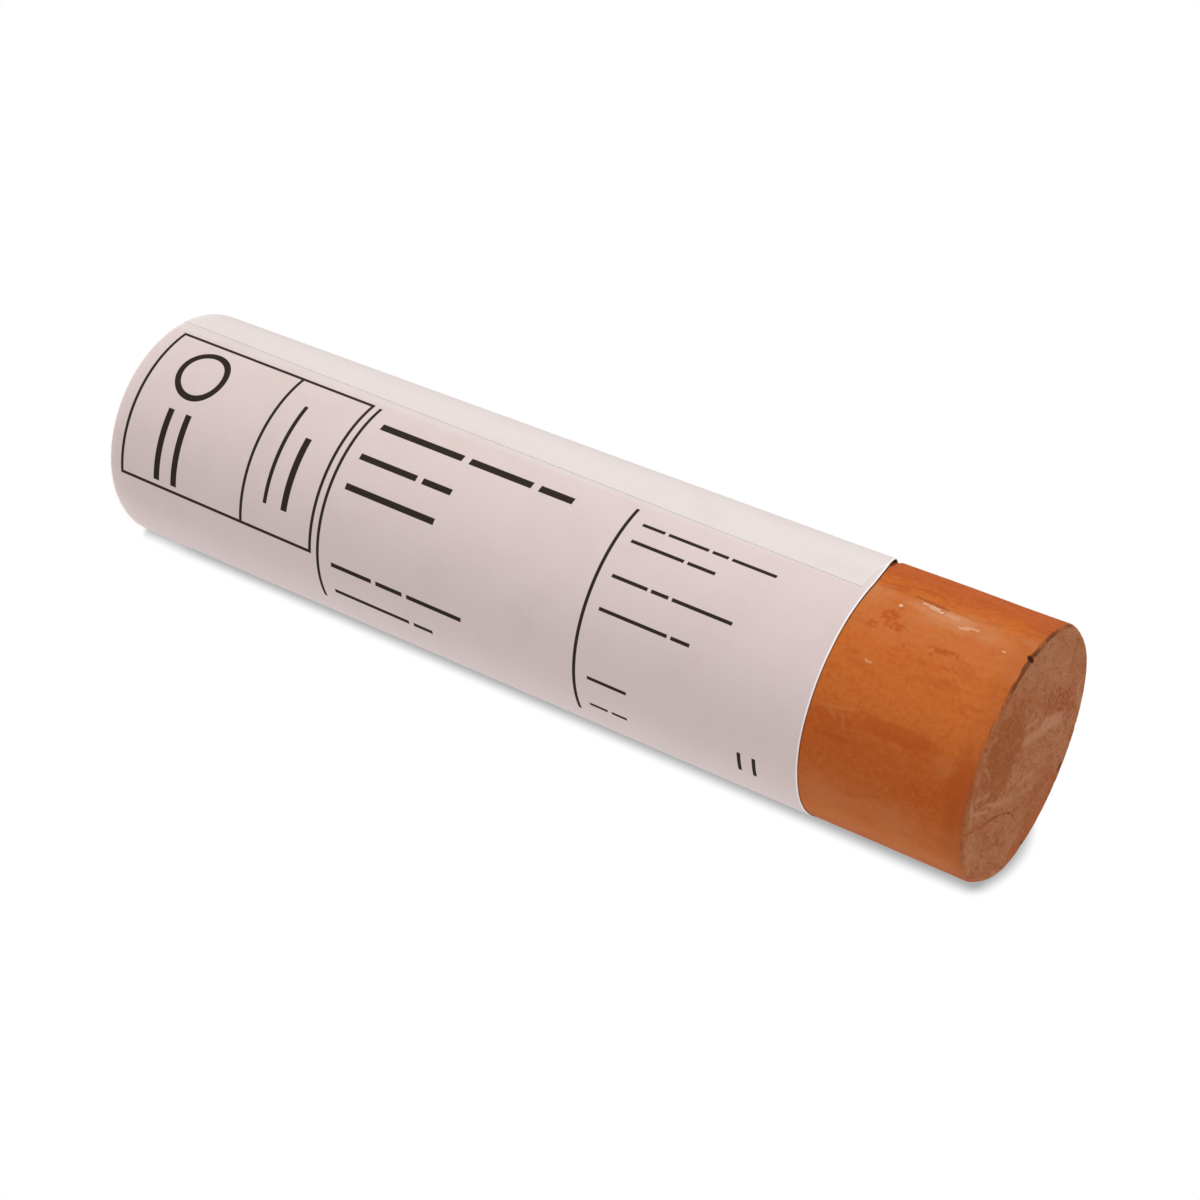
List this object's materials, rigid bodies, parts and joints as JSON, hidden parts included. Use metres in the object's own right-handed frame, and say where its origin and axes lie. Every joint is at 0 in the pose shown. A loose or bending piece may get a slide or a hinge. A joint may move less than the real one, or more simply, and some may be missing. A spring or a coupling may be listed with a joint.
{
  "type": "oil paint stick",
  "caption": "Fat cast stick of orange oil paint, rolled in a lapped paper label that leaves one end bare for drawing and painting.",
  "frame": {"origin": "centre of the flat wrapped end, on which the stick stands", "axes": "+Z along the stick towards its bare end; the printed front of the label faces -Y"},
  "size_m": [0.0319, 0.0318, 0.1274],
  "materials": {
    "oil_paint": "waxy satin skin of dried oil paint, duller and browner on the end face",
    "label_paper": "uncoated pale paper with thin black printed rules and bars"
  },
  "bodies": {
    "root": {"paint_stick": "oil_paint", "paper_label": "label_paper"}
  },
  "joints": []
}
